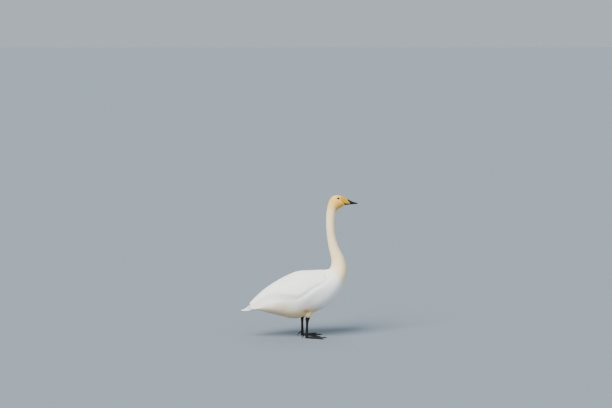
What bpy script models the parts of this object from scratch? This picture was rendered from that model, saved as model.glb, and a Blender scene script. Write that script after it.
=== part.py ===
"""Whooper swan (Cygnus cygnus), adult, standing: the solids of a life-size still model.

Metres, +Z up. The bird faces +X, its right side is -Y and its soles stand on z = 0. The trunk, neck
and head are one loft, parted by thin cuts. Each section of it is an egg-shaped ring in the plane
through one point of the upper outline, one point of the lower outline and the sideways axis.
"""
import math

import bmesh
import bpy
import numpy as np
from mathutils import Matrix

GAP = 0.0003  # between neighbouring solids
AROUND = 28  # sides of each ring of the trunk, neck and head

# Upper outline (x, z), lower outline (x, z), half width, height of the widest level (-1 to 1).
SLICES = {
    "tail tip": ((-0.4055, 0.1965), (-0.4050, 0.1940), 0.013, 0.0),
    "tail end": ((-0.396, 0.2000), (-0.395, 0.1940), 0.031, 0.0),
    "tail middle": ((-0.366, 0.210), (-0.362, 0.1960), 0.047, 0.0),
    "tail root": ((-0.322, 0.224), (-0.316, 0.200), 0.058, 0.0),
    "vent": ((-0.262, 0.266), (-0.252, 0.184), 0.086, 0.0),
    "rump": ((-0.182, 0.330), (-0.170, 0.163), 0.112, -0.05),
    "abdomen": ((-0.096, 0.398), (-0.086, 0.140), 0.132, -0.08),
    "middle": ((-0.012, 0.446), (-0.010, 0.134), 0.143, -0.08),
    "belly": ((0.070, 0.461), (0.080, 0.166), 0.144, -0.06),
    "keel": ((0.138, 0.465), (0.170, 0.204), 0.138, -0.04),
    "breast": ((0.186, 0.467), (0.241, 0.259), 0.128, 0.0),
    "crop": ((0.211, 0.472), (0.291, 0.329), 0.110, 0.0),
    "shoulder": ((0.221, 0.485), (0.322, 0.407), 0.087, 0.0),
    "neck foot": ((0.227, 0.512), (0.331, 0.475), 0.066, 0.0),
    "neck root": ((0.224, 0.550), (0.317, 0.543), 0.052, 0.0),
    "low neck": ((0.2095, 0.612), (0.2840, 0.612), 0.0390, 0.0),
    "middle neck": ((0.1935, 0.715), (0.2520, 0.715), 0.0305, 0.0),
    "high neck": ((0.1885, 0.810), (0.2475, 0.812), 0.0285, 0.0),
    "throat": ((0.1950, 0.893), (0.2600, 0.876), 0.0285, 0.0),
    "nape": ((0.2085, 0.944), (0.2745, 0.8930), 0.0300, -0.06),
    "cheek": ((0.2335, 0.978), (0.2895, 0.9015), 0.0310, -0.12),
    "brow": ((0.264, 0.986), (0.3035, 0.9095), 0.0280, -0.14),
    "bill root": ((0.3000, 0.9795), (0.3160, 0.9180), 0.0205, -0.10),
}
# Where the loft is parted, and how many rings each length holds.
PARTS = [
    ("tail", "tail tip", "tail root", 8),
    ("trunk", "tail root", "neck root", 26),
    ("neck_low", "neck root", "middle neck", 6),
    ("neck_middle", "middle neck", "high neck", 4),
    ("neck_high", "high neck", "throat", 4),
    ("head", "throat", "bill root", 12),
]
# The folded wing, in degrees round the ring from the back: its upper edge, its lower edge outside
# and inside, then how far it rises over the back and how far it stands out at the flank.
WING = {
    "tail tip": (0, 30, 0, 0.000, 0.000),
    "tail end": (0, 36, 4, 0.002, 0.000),
    "tail middle": (0, 48, 10, 0.009, 0.002),
    "tail root": (0, 58, 16, 0.033, 0.012),
    "vent": (0, 57, 26, 0.050, 0.022),
    "rump": (0, 67, 51, 0.046, 0.025),
    "abdomen": (0, 81, 75, 0.026, 0.021),
    "middle": (6, 87, 85, 0.011, 0.017),
    "belly": (20, 77, 75, 0.005, 0.013),
    "keel": (38, 70, 68, 0.004, 0.008),
    "breast": (54, 64, 62, 0.002, 0.003),
}
WING_ENDS = 0.80, 0.62  # of the way from the tail's tip to its middle, and from keel to breast
WING_EDGE = 0.0025  # thickness at its lower edge

# Bill: ridge (x, z), cut between the jaws (x, z), lower outline (x, z), half width.
BILL = {
    "root": ((0.3003, 0.9785), (0.3130, 0.9300), (0.3162, 0.9180), 0.0195),
    "lore": ((0.3130, 0.9745), (0.3255, 0.9283), (0.3285, 0.9187), 0.0182),
    "nostril": ((0.3330, 0.9640), (0.3405, 0.9277), (0.3420, 0.9200), 0.0168),
    "saddle": ((0.3583, 0.9484), (0.3600, 0.9272), (0.3605, 0.9214), 0.0155),
    "fore": ((0.3833, 0.9383), (0.3835, 0.9269), (0.3836, 0.9236), 0.0148),
    "nail": ((0.3992, 0.9337), (0.3987, 0.9265), (0.3985, 0.9245), 0.0108),
    "tip": ((0.4086, 0.9291), (0.4080, 0.9254), (0.4078, 0.9250), 0.0035),
}
EYE_AT = (0.2710, 0.9655)
EYE_RADIUS = 0.0080
EYE_SEAT = 0.0188  # of the eye's centre from the middle plane

# Where each leg leaves its feathers (x, y), and how far behind that its heel stands; right is -Y.
LEGS = {"right": (0.052, -0.062, 0.008), "left": (0.031, 0.062, 0.002)}
TOE_OUT = 4.0  # degrees that each foot turns outward
# Feathered part of the leg: height, half length, half width, how far it lies before the shank.
THIGH = [
    (0.262, 0.046, 0.030, 0.012),
    (0.215, 0.041, 0.031, 0.006),
    (0.188, 0.035, 0.0285, 0.001),
    (0.170, 0.0295, 0.0255, 0.000),
    (0.160, 0.0255, 0.0220, 0.000),
    (0.1545, 0.0180, 0.0160, 0.001),
]
# Bare part of the leg: height, half length, half width, how far it lies before its middle line.
SHANK = [
    (0.1542, 0.0130, 0.0110, 0.001),
    (0.1450, 0.0150, 0.0125, 0.001),
    (0.1360, 0.0152, 0.0125, 0.000),
    (0.1250, 0.0118, 0.0096, -0.001),
    (0.1080, 0.0091, 0.0072, -0.001),
    (0.0600, 0.0085, 0.0065, 0.000),
    (0.0380, 0.0092, 0.0072, 0.0005),
    (0.0203, 0.0100, 0.0088, 0.000),
]
# Toe: direction in degrees (outward is positive), length, half width at the root and at the tip.
TOES = {
    "outer": (27.0, 0.120, 0.0064, 0.0042),
    "middle": (0.0, 0.130, 0.0070, 0.0044),
    "inner": (-29.0, 0.102, 0.0064, 0.0042),
}
HEEL_RADIUS, HEEL_HEIGHT = 0.0092, 0.0200
TOE_HEIGHT = (0.0135, 0.0075)  # at the root and at the tip
WEB_THICK = 0.0022
WEB_NOTCH = 0.13  # of the toes' length that the web's edge is cut back between two toes
CLAW_LENGTH, CLAW_RADIUS = 0.0145, 0.0034
# Hind toe: distance behind the heel's middle, height, radius, down to its claw on the floor.
HALLUX = [(0.0130, 0.0252, 0.0038), (0.0200, 0.0195, 0.0038), (0.0275, 0.0105, 0.0031)]
HALLUX_CLAW = [(0.0279, 0.0099, 0.0027), (0.0322, 0.0047, 0.0020), (0.0356, 0.0009, 0.0010)]

WHITE, CREAM, BUFF = (0.76, 0.76, 0.74), (0.74, 0.70, 0.60), (0.68, 0.56, 0.38)
BLACK, YELLOW, EYE_BROWN = (0.02, 0.02, 0.022), (0.83, 0.52, 0.03), (0.025, 0.014, 0.009)


def clear_scene():
    for obj in list(bpy.data.objects):
        bpy.data.objects.remove(obj, do_unlink=True)


def collection(name):
    made = bpy.data.collections.new(name)
    bpy.context.scene.collection.children.link(made)
    return made


def spline(at, values):
    """Natural cubic spline through the rows of values, as a function of the distance along."""
    at, values = np.asarray(at, float), np.asarray(values, float)
    step, last = np.diff(at), len(at) - 1
    system, load = np.eye(last + 1), np.zeros(values.shape)
    for i in range(1, last):
        system[i, i - 1:i + 2] = step[i - 1], 2 * (step[i - 1] + step[i]), step[i]
        rise = (values[i + 1] - values[i]) / step[i] - (values[i] - values[i - 1]) / step[i - 1]
        load[i] = 6 * rise
    bend = np.linalg.solve(system, load)

    def curve(s):
        i = np.clip(np.searchsorted(at, s) - 1, 0, last - 1)
        span = step[i][..., None]
        b = (np.asarray(s, float) - at[i])[..., None] / span
        a = 1 - b
        swell = (a**3 - a) * bend[i] + (b**3 - b) * bend[i + 1]
        return a * values[i] + b * values[i + 1] + swell * span**2 / 6

    return curve


def rails(table):
    """Distance along a table of sections, by name, and the spline of their rows."""
    rows = np.array([np.hstack(row) for row in table.values()], float)
    ends = rows[:, :2], rows[:, -4:-2] if rows.shape[1] == 6 else rows[:, 4:6]
    steps = sum(np.linalg.norm(np.diff(end, axis=0), axis=1) for end in ends) / 2
    along = np.concatenate([[0], np.cumsum(steps)])
    return dict(zip(table, along)), spline(along, rows)


BODY_AT, BODY = rails(SLICES)
BILL_AT, BILL_CURVE = rails(BILL)
WING_CURVE = spline([BODY_AT[name] for name in WING], list(WING.values()))


def body_ring(s, turn, rise=0.0, swell=0.0):
    """Points of the body's surface at s along it and turned from the back towards the right side."""
    row = BODY(s)
    upper, lower = row[..., 0:2], row[..., 2:4]
    up = (upper - lower) / np.linalg.norm(upper - lower, axis=-1, keepdims=True)
    upper = upper + up * np.asarray(rise)[..., None]
    level = np.cos(turn) + row[..., 5] * np.sin(turn) ** 2
    at = (upper + lower) / 2 + (upper - lower) / 2 * level[..., None]
    across = -(row[..., 4] + swell) * np.sin(turn)
    return np.stack([at[..., 0], across, at[..., 1]], axis=-1)


def body_grid(s):
    turn = np.arange(AROUND) * 2 * math.pi / AROUND
    s, turn = np.meshgrid(s, turn, indexing="ij")
    return body_ring(s, turn)


def push_out(grid, distance):
    """Moves each ring's points away from the surface, along its normal."""
    along = np.gradient(grid, axis=0)
    round_ring = np.roll(grid, -1, axis=1) - np.roll(grid, 1, axis=1)
    normal = np.cross(along, round_ring)
    normal /= np.linalg.norm(normal, axis=-1, keepdims=True)
    centre = grid.mean(axis=1, keepdims=True)
    if ((grid - centre) * normal).sum() < 0:
        normal = -normal
    return grid + distance * normal


def material(name, color, roughness):
    made = bpy.data.materials.new(name)
    made.use_nodes = True
    shader = made.node_tree.nodes["Principled BSDF"]
    shader.inputs["Base Color"].default_value = (*color, 1)
    shader.inputs["Roughness"].default_value = roughness
    shader.inputs["Metallic"].default_value = 0.0
    return made


def add_solid(name, points, faces, group, finish=None):
    mesh = bpy.data.meshes.new(name)
    mesh.from_pydata([tuple(p) for p in points], [], faces)
    checked = bmesh.new()
    checked.from_mesh(mesh)
    bmesh.ops.remove_doubles(checked, verts=checked.verts, dist=1e-6)
    bmesh.ops.recalc_face_normals(checked, faces=checked.faces)
    checked.to_mesh(mesh)
    checked.free()
    obj = bpy.data.objects.new(name, mesh)
    group.objects.link(obj)
    if finish:
        mesh.materials.append(finish)
    return obj


def loft_faces(rings, sides):
    """Faces of a closed loft: two triangles for each step, and a fan over each end."""
    faces = []
    for i in range(rings - 1):
        for j in range(sides):
            k = (j + 1) % sides
            a, b, c, d = i * sides + j, i * sides + k, (i + 1) * sides + k, (i + 1) * sides + j
            faces += [(a, b, c), (a, c, d)]
    for first, middle in ((0, rings * sides), ((rings - 1) * sides, rings * sides + 1)):
        faces += [(first + j, first + (j + 1) % sides, middle) for j in range(sides)]
    return faces


def add_loft(name, grid, group, finish=None):
    """A closed solid through the rings of grid, whose shape is (rings, sides, 3)."""
    rings, sides, _ = grid.shape
    ends = [grid[0].mean(axis=0), grid[-1].mean(axis=0)]
    return add_solid(name, [*grid.reshape(-1, 3), *ends], loft_faces(rings, sides), group, finish)


def cut(obj, cutter):
    """Takes the cutter's solid out of obj for good."""
    modifier = obj.modifiers.new("cut", "BOOLEAN")
    modifier.operation = "DIFFERENCE"
    modifier.solver = "EXACT"
    modifier.object = cutter
    graph = bpy.context.evaluated_depsgraph_get()
    mesh = bpy.data.meshes.new_from_object(obj.evaluated_get(graph))
    obj.modifiers.clear()
    obj.data = mesh


def helper(obj):
    obj.hide_render = True
    obj.display_type = "WIRE"
    return obj


def body_parts(group, finishes):
    """Trunk, tail, neck and head, each shortened by half the gap at its ends."""
    made = {}
    for name, first, last, count in PARTS:
        grid = body_grid(np.linspace(BODY_AT[first], BODY_AT[last], count + 1))
        for ring, inner in ((0, 1), (-1, -2)):
            row = BODY(np.array(BODY_AT[first if ring == 0 else last]))
            chord = row[0:2] - row[2:4]
            normal = np.array([chord[1], 0.0, -chord[0]]) / np.linalg.norm(chord)
            inward = np.sign((grid[inner] - grid[ring]).mean(axis=0) @ normal)
            grid[ring] += normal * inward * GAP / 2
        made[name] = add_loft(name, grid, group, finishes[name])
    return made


def body_clearance(group):
    """The whole body a gap larger, with the same rings as its parts, to trim what lies on it."""
    stations = [np.linspace(BODY_AT[a], BODY_AT[b], n + 1)[:-1] for _, a, b, n in PARTS[:3]]
    grid = body_grid(np.concatenate(stations))
    return helper(add_loft("body_clearance", push_out(grid, 1.3 * GAP), group))


def add_wing(name, side, group, finish, clearance):
    """A shell over the flank: outside it is the plumage's surface, inside it follows the body."""
    rear = WING_ENDS[0] * BODY_AT["tail middle"]
    front = BODY_AT["keel"] + WING_ENDS[1] * (BODY_AT["breast"] - BODY_AT["keel"])
    rows, columns = 20, 9
    step = (0.5 - 0.5 * np.cos(np.linspace(0, math.pi, rows + 1))) ** 0.9
    s, across = np.meshgrid(rear + (front - rear) * step, np.linspace(0, 1, columns + 1))
    s, across = s.T, across.T
    upper, outside, inside, rise, swell = np.moveaxis(WING_CURVE(s), -1, 0)
    # Both ends draw in to a rounded outline.
    fade = np.clip((front - s) / 0.09, 0, 1) * np.clip((s - rear) / 0.03, 0, 1)
    round_off = np.sqrt(1 - (1 - fade) ** 2)
    middle = (upper + outside) / 2
    upper = np.where(s > (front + rear) / 2, middle + (upper - middle) * round_off, upper)
    outside = middle + (outside - middle) * np.maximum(round_off, 0.15)
    full = np.sqrt(1 - np.clip((across - 0.72) / 0.28, 0, 1) ** 3) * round_off
    turn = np.radians(upper + (outside - upper) * across)
    swell = swell * full + WING_EDGE * round_off * np.sin(turn)
    outer = body_ring(s, turn, rise * full, swell)
    turn = np.radians(upper + (np.minimum(inside, outside) - upper) * across)
    inner = body_ring(s, turn, 0 * rise - 0.004, 0 * swell - 0.005)
    inner[..., 2] -= 0.002
    for shell in (outer, inner):
        shell[..., 1] = np.minimum(shell[..., 1], -GAP / 2)
    grid = np.concatenate([outer, inner[:, ::-1]], axis=1) * (1, side, 1)
    wing = add_loft(name, grid, group, finish)
    cut(wing, clearance)
    return wing


def jaw_grid(rows, flat_first, inset, shift):
    """Rings of one jaw: a dome over a flat, from the rail to the cut between the jaws."""
    quarter = np.linspace(0, math.pi / 2, 6)
    side = [(math.sin(q), math.cos(q)) for q in quarter] + [(0.5, 0.0)]
    half = np.array(side + [(0.0, 0.0)] + [(-y, z) for y, z in side[:0:-1]])
    grid = []
    for dome, flat, width in rows:
        towards = (dome - flat) / np.linalg.norm(dome - flat)
        flat = flat + towards * shift
        at = flat + np.outer(half[:, 1], dome - flat)
        grid.append(np.column_stack([at[:, 0], half[:, 0] * (width - inset), at[:, 1]]))
    return np.array(grid)


def bill(group, finishes):
    start = BILL_AT["root"] + GAP
    upper = BILL_CURVE(np.linspace(start, BILL_AT["tip"], 13))
    lower = BILL_CURVE(np.linspace(start, BILL_AT["nail"], 10))
    jaws = {
        "bill_upper": jaw_grid([(r[0:2], r[2:4], r[6]) for r in upper], True, 0.0, GAP / 2),
        "bill_lower": jaw_grid([(r[4:6], r[2:4], r[6]) for r in lower], False, 0.0015, GAP / 2),
    }
    for name, grid in jaws.items():
        row = BODY(np.array(BODY_AT["bill root"]))
        chord = (row[0:2] - row[2:4]) / np.linalg.norm(row[0:2] - row[2:4])
        normal = np.array([chord[1], 0.0, -chord[0]])
        ahead = (grid[0] - (row[0], 0.0, row[1])) @ normal
        grid[0] += np.outer(GAP - ahead, normal)
        add_loft(name, grid, group, finishes[name])


def ball(name, centre, radius, group, finish=None):
    shape = bmesh.new()
    bmesh.ops.create_uvsphere(shape, u_segments=16, v_segments=10, radius=radius)
    mesh = bpy.data.meshes.new(name)
    shape.to_mesh(mesh)
    shape.free()
    obj = bpy.data.objects.new(name, mesh)
    mesh.transform(Matrix.Translation(centre))
    group.objects.link(obj)
    if finish:
        mesh.materials.append(finish)
    return obj


def oval_grid(levels, side, sides):
    """Upright stack of ovals on a leg's leaning middle line."""
    turn = np.arange(sides) * 2 * math.pi / sides
    x, y, lean = LEGS[side]
    top, foot = SHANK[0][0], SHANK[-1][0]
    rings = []
    for height, length, width, lead in levels:
        lead -= lean * min(1.0, max(0.0, (top - height) / (top - foot)))
        ring = x + lead + length * np.cos(turn), y + width * np.sin(turn), height + 0 * turn
        rings.append(np.column_stack(ring))
    return np.array(rings)


def foot_height(x, y):
    """Height of the foot's upper side: heel, then a ridge along each toe, then the web."""
    height = np.full(x.shape, WEB_THICK)
    for direction, length, root, tip in TOES.values():
        angle = math.radians(direction)
        along = x * math.cos(angle) + y * math.sin(angle)
        off = np.abs(y * math.cos(angle) - x * math.sin(angle))
        part = np.clip(along / length, 0, 1)
        width = root + (tip - root) * part
        top = TOE_HEIGHT[0] + (TOE_HEIGHT[1] - TOE_HEIGHT[0]) * part
        height = np.maximum(height, top * np.sqrt(np.clip(1 - (off / width) ** 2, 0, 1)))
    reach = np.clip((np.hypot(x, y) - 0.7 * HEEL_RADIUS) / (2.2 * HEEL_RADIUS), 0, 1)
    return np.maximum(height, HEEL_HEIGHT * (1 - reach**1.5))


def foot_columns():
    """Start and end of each line that runs from the heel to the foot's front edge."""
    toes = list(TOES.values())[::-1]
    ends = []
    for number, (direction, length, root, tip) in enumerate(toes):
        angle = math.radians(direction)
        along = np.array([math.cos(angle), math.sin(angle)])
        aside = np.array([-along[1], along[0]])
        ends += [along * length + aside * tip * part for part in (-1, -0.6, 0, 0.6, 1)]
        if number == 2:
            break
        for part in (0.2, 0.5, 0.8):
            following = toes[number + 1]
            at = math.radians(direction + (following[0] - direction) * part)
            reach = length + (following[1] - length) * part
            reach *= 1 - WEB_NOTCH * math.sin(math.pi * part) ** 0.7
            ends.append(reach * np.array([math.cos(at), math.sin(at)]))
    spread = np.linspace(-math.pi / 2, math.pi / 2, len(ends))
    starts = HEEL_RADIUS * np.column_stack([-np.cos(spread), np.sin(spread)])
    return starts, np.array(ends)


def foot(side, group, finish):
    """A flat sole with the heel, toes and web standing on it."""
    starts, ends = foot_columns()
    part = np.array([0, 0.05, 0.10, 0.16, 0.28, 0.46, 0.66, 0.85, 1.0])[:, None, None]
    plan = starts + (ends - starts) * part
    top = foot_height(plan[..., 0], plan[..., 1])
    rows, columns = top.shape
    upper = np.dstack([plan, top]).reshape(-1, 3)
    lower = np.dstack([plan, 0 * top]).reshape(-1, 3)
    count = rows * columns
    faces = []
    for i in range(rows - 1):
        for j in range(columns - 1):
            a, b = i * columns + j, (i + 1) * columns + j
            faces.append((a, a + 1, b + 1, b))
            faces.append((a + count, b + count, b + 1 + count, a + 1 + count))
    rim = [j for j in range(columns)] + [i * columns + columns - 1 for i in range(1, rows)]
    rim += [(rows - 1) * columns + j for j in range(columns - 2, -1, -1)]
    rim += [i * columns for i in range(rows - 2, 0, -1)]
    for a, b in zip(rim, rim[1:] + rim[:1]):
        faces.append((a, b, b + count, a + count))
    points = place(np.vstack([upper, lower]), side)
    add_solid(f"foot_{side}", points, faces, group, finish)


def place(points, side):
    """Turns a foot's own points outward, mirrors them for the right foot and moves them."""
    middle, across, lean = LEGS[side]
    angle = math.radians(TOE_OUT)
    x = points[..., 0] * math.cos(angle) - points[..., 1] * math.sin(angle)
    y = points[..., 0] * math.sin(angle) + points[..., 1] * math.cos(angle)
    y = y if side == "left" else -y
    return np.stack([x + middle - lean, y + across, points[..., 2]], axis=-1)


def tapered(path, radii, sides=8):
    """Rings round a path in the foot's own plan, each upright and square to the path."""
    path = np.array(path, float)
    ahead = np.gradient(path, axis=0)
    ahead /= np.linalg.norm(ahead, axis=1, keepdims=True)
    aside = np.cross((0, 0, 1), ahead)
    aside /= np.linalg.norm(aside, axis=1, keepdims=True)
    upward = np.cross(ahead, aside)
    turn = np.arange(sides) * 2 * math.pi / sides
    ring = np.cos(turn)[:, None, None] * aside + np.sin(turn)[:, None, None] * upward
    return path[:, None] + np.moveaxis(ring, 0, 1) * np.array(radii)[:, None, None]


def claw_path(start, along, length):
    """A short arc from start that bends down towards the floor."""
    drop = (0.0, 0.0006, 0.0019, 0.0033)
    return [
        (*(start[:2] + along * length * part), start[2] - fall)
        for part, fall in zip((0, 0.4, 0.75, 1.0), drop)
    ]


def claws(side, group, finish):
    for name, (direction, length, _, _) in TOES.items():
        angle = math.radians(direction)
        along = np.array([math.cos(angle), math.sin(angle)])
        start = np.append(along * (length + GAP), 0.0044)
        path = claw_path(start, along, CLAW_LENGTH)
        radii = CLAW_RADIUS * np.array([1.0, 0.82, 0.5, 0.12])
        add_loft(f"claw_{side}_{name}", place(tapered(path, radii), side), group, finish)


def hallux(side, skin, horn, group):
    """The small hind toe, held clear of the floor, and its claw, whose tip rests on it."""
    for name, rows, finish in (
        (f"hallux_{side}", HALLUX, skin),
        (f"claw_{side}_hallux", HALLUX_CLAW, horn),
    ):
        path = [(-back, 0.0, height) for back, height, _ in rows]
        grid = place(tapered(path, [radius for _, _, radius in rows]), side)
        grid[..., 2] = np.maximum(grid[..., 2], 0.0)
        add_loft(name, grid, group, finish)


def leg(side, group, finishes, clearance):
    thigh = add_loft(f"thigh_{side}", oval_grid(THIGH, side, 16), group, finishes["thigh"])
    cut(thigh, clearance)
    shank = add_loft(f"shank_{side}", oval_grid(SHANK, side, 12), group, finishes["leg"])
    cut(shank, clearance)
    foot(side, group, finishes["leg"])
    hallux(side, finishes["leg"], finishes["horn"], group)
    claws(side, group, finishes["horn"])


def main():
    clear_scene()
    swan = collection("whooper_swan")
    cutters = collection("cutters")
    plumage = material("plumage_white", WHITE, 0.75)
    stained = material("plumage_cream", CREAM, 0.75)
    buff = material("plumage_buff", BUFF, 0.75)
    yellow = material("bill_yellow", YELLOW, 0.35)
    black = material("bill_black", BLACK, 0.30)
    legs = material("leg_black", BLACK, 0.45)
    horn = material("claw_horn", BLACK, 0.35)
    eye = material("eye_brown", EYE_BROWN, 0.08)
    finishes = {"tail": plumage, "trunk": plumage, "neck_low": stained, "neck_middle": stained}
    finishes |= {"neck_high": buff, "head": buff, "thigh": stained, "leg": legs, "horn": horn}
    finishes |= {"bill_upper": yellow, "bill_lower": black}
    parts = body_parts(swan, finishes)
    clearance = body_clearance(cutters)
    for name, side in (("right", 1), ("left", -1)):
        add_wing(f"wing_{name}", side, swan, plumage, clearance)
        centre = (EYE_AT[0], -side * EYE_SEAT, EYE_AT[1])
        ball(f"eye_{name}", centre, EYE_RADIUS, swan, eye)
        socket = ball(f"socket_{name}", centre, EYE_RADIUS + GAP, cutters)
        cut(parts["head"], helper(socket))
        leg(name, swan, finishes, clearance)
    bill(swan, finishes)


main()
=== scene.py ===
"""A whooper swan standing on both feet, life size: its skin, bill, eyes, claws and plumage.

Metres, +Z up. The bird faces +X and its right side is -Y.
"""
import math

import bmesh
import bpy
import numpy as np
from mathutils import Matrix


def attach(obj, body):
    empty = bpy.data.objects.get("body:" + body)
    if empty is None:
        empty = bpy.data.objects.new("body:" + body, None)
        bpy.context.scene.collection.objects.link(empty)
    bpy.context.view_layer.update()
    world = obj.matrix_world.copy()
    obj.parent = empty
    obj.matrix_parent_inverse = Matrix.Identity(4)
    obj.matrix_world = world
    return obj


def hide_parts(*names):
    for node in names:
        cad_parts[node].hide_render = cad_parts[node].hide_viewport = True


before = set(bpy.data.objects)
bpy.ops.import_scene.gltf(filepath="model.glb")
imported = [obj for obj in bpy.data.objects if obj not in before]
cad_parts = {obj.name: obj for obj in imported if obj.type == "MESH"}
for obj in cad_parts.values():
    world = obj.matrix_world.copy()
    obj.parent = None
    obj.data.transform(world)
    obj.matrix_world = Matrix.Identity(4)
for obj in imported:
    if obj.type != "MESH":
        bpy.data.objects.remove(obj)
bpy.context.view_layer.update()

# ---------------------------------------------------------------- Camera, floor and lights
# A long lens from well off, a little ahead of square to the bird's right side and a little above
# its back. The bird stands low in the frame, as it does on the bank of a lake.
CAMERA_AT = (-1.4266, -11.6066, 2.0136)
LOOK_TURN, LOOK_DOWN = -7.24, 5.30  # degrees round from +Y, degrees below level
LENS, SENSOR = 100.0, 36.0

camera_data = bpy.data.cameras.new("camera")
camera_data.lens, camera_data.sensor_width = LENS, SENSOR
camera_data.clip_end = 9000.0
camera = bpy.data.objects.new("camera", camera_data)
camera.location = CAMERA_AT
camera.rotation_euler = (math.radians(90 - LOOK_DOWN), 0.0, math.radians(LOOK_TURN))
bpy.context.scene.collection.objects.link(camera)
bpy.context.scene.camera = camera


def soft_light(name, from_turn, from_height, spread, strength, color):
    """A wide even light from that many degrees round from -Y towards +X and that many up."""
    data = bpy.data.lights.new(name, "SUN")
    data.angle, data.energy, data.color = math.radians(spread), strength, color
    lamp = bpy.data.objects.new(name, data)
    lamp.rotation_euler = (math.radians(90 - from_height), 0.0, math.radians(from_turn))
    bpy.context.scene.collection.objects.link(lamp)


soft_light("key", -40, 44, 36, 7.4, (1.0, 0.96, 0.90))
soft_light("fill", 42, 20, 80, 1.0, (0.92, 0.96, 1.0))
soft_light("back", 170, 50, 50, 0.9, (0.96, 0.98, 1.0))

world = bpy.data.worlds.new("studio")
world.use_nodes = True
sky = world.node_tree.nodes["Background"].inputs
sky["Color"].default_value, sky["Strength"].default_value = (0.66, 0.74, 0.82, 1), 0.76
bpy.context.scene.world = world

FLOOR_REACH = 3000.0
floor_mesh = bpy.data.meshes.new("floor")
floor_mesh.from_pydata([(x * FLOOR_REACH, y * FLOOR_REACH, 0) for x, y in (
    (-1, -1), (1, -1), (1, 1), (-1, 1))], [], [(0, 1, 2, 3)])
floor = bpy.data.objects.new("floor", floor_mesh)
bpy.context.scene.collection.objects.link(floor)
floor_finish = bpy.data.materials.new("floor_paint")
floor_finish.use_nodes = True
floor_sockets = floor_finish.node_tree.nodes["Principled BSDF"].inputs
floor_sockets["Base Color"].default_value = (0.178, 0.215, 0.250, 1)
floor_sockets["Roughness"].default_value = 1.0
floor_sockets["Specular IOR Level"].default_value = 0.0
floor_mesh.materials.append(floor_finish)

# ---------------------------------------------------------------- Form of the body
# One loft from the tail to the bill. Each ring lies in the plane through a point of the upper
# outline, one of the lower outline and the sideways axis. These are the outlines of the feathers.
SLICES = {  # upper outline (x, z), lower outline (x, z), half width, widest level, depth of coat
    "tail tip": ((-0.4055, 0.1965), (-0.4050, 0.1940), 0.013, 0.0, 0.0006),
    "tail end": ((-0.396, 0.2000), (-0.395, 0.1940), 0.031, 0.0, 0.0015),
    "tail middle": ((-0.366, 0.210), (-0.362, 0.1960), 0.047, 0.0, 0.0050),
    "tail root": ((-0.322, 0.224), (-0.316, 0.200), 0.058, 0.0, 0.0075),
    "vent": ((-0.262, 0.266), (-0.252, 0.184), 0.086, 0.0, 0.009),
    "rump": ((-0.182, 0.330), (-0.170, 0.163), 0.112, -0.05, 0.010),
    "abdomen": ((-0.096, 0.398), (-0.086, 0.140), 0.132, -0.08, 0.010),
    "middle": ((-0.012, 0.446), (-0.010, 0.134), 0.143, -0.08, 0.010),
    "belly": ((0.070, 0.461), (0.080, 0.166), 0.144, -0.06, 0.010),
    "keel": ((0.138, 0.465), (0.170, 0.204), 0.138, -0.04, 0.010),
    "breast": ((0.186, 0.467), (0.241, 0.259), 0.128, 0.0, 0.009),
    "crop": ((0.211, 0.472), (0.291, 0.329), 0.110, 0.0, 0.008),
    "shoulder": ((0.221, 0.485), (0.322, 0.407), 0.087, 0.0, 0.007),
    "neck foot": ((0.227, 0.512), (0.331, 0.475), 0.066, 0.0, 0.006),
    "neck root": ((0.224, 0.550), (0.317, 0.543), 0.052, 0.0, 0.0052),
    "low neck": ((0.2095, 0.612), (0.2840, 0.612), 0.0390, 0.0, 0.0045),
    "middle neck": ((0.1935, 0.715), (0.2520, 0.715), 0.0305, 0.0, 0.004),
    "high neck": ((0.1885, 0.810), (0.2475, 0.812), 0.0285, 0.0, 0.0036),
    "throat": ((0.1950, 0.893), (0.2600, 0.876), 0.0285, 0.0, 0.003),
    "nape": ((0.2085, 0.944), (0.2745, 0.8930), 0.0300, -0.06, 0.0024),
    "cheek": ((0.2335, 0.978), (0.2895, 0.9015), 0.0310, -0.12, 0.0019),
    "brow": ((0.264, 0.986), (0.3035, 0.9095), 0.0280, -0.14, 0.0014),
    "bill root": ((0.3000, 0.9795), (0.3160, 0.9180), 0.0205, -0.10, 0.0001),
}
# The folded wing, in degrees round the ring from the back: upper edge, lower edge, then its rise
# over the back, how far it stands out at the flank, how softly its lower edge steps down in
# degrees, and how far the flank feathers bulge below that edge. It ends in front at WING_FRONT.
WING = {
    "tail tip": (0, 30, 0.000, 0.000, 8, 0.000),
    "tail end": (0, 36, 0.002, 0.000, 8, 0.000),
    "tail middle": (0, 48, 0.009, 0.002, 8, 0.000),
    "tail root": (0, 58, 0.033, 0.012, 8, 0.000),
    "vent": (0, 57, 0.050, 0.022, 8, 0.003),
    "rump": (0, 67, 0.046, 0.025, 6, 0.006),
    "abdomen": (0, 81, 0.026, 0.021, 6, 0.007),
    "middle": (6, 87, 0.011, 0.017, 14, 0.010),
    "belly": (20, 77, 0.005, 0.013, 30, 0.013),
    "keel": (38, 70, 0.004, 0.008, 34, 0.010),
    "breast": (54, 64, 0.002, 0.003, 30, 0.004),
}
WING_FRONT = 0.62  # of the way from keel to breast
WING_EDGE, WING_COAT = 0.0025, 0.007  # how far its edge stands out, and its coat's depth at most
WING_START, FLANK_AHEAD = 0.09, 0.08  # lengths: of its rounded front, of the flank's bulge ahead
BULGE_BELOW, BULGE_ABOVE = 0.045, 0.012  # how fast the flank's bulge fades from the wing's edge
UPPER_SOFT = 6.0  # degrees over which the wing's upper edge rises
# Its lower side is rounded over so many degrees by so great a share: in front, and more behind.
ROUND_OVER, ROUND_BY = (15, 9), (0.62, 0.18)
COAT_LEAST, COAT_GROWTH = 0.0001, 0.14  # depth of the coat at the lores, and its growth behind
ROWS, SIDES = 800, 288  # fineness of the tables that the feathers are laid on


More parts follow.
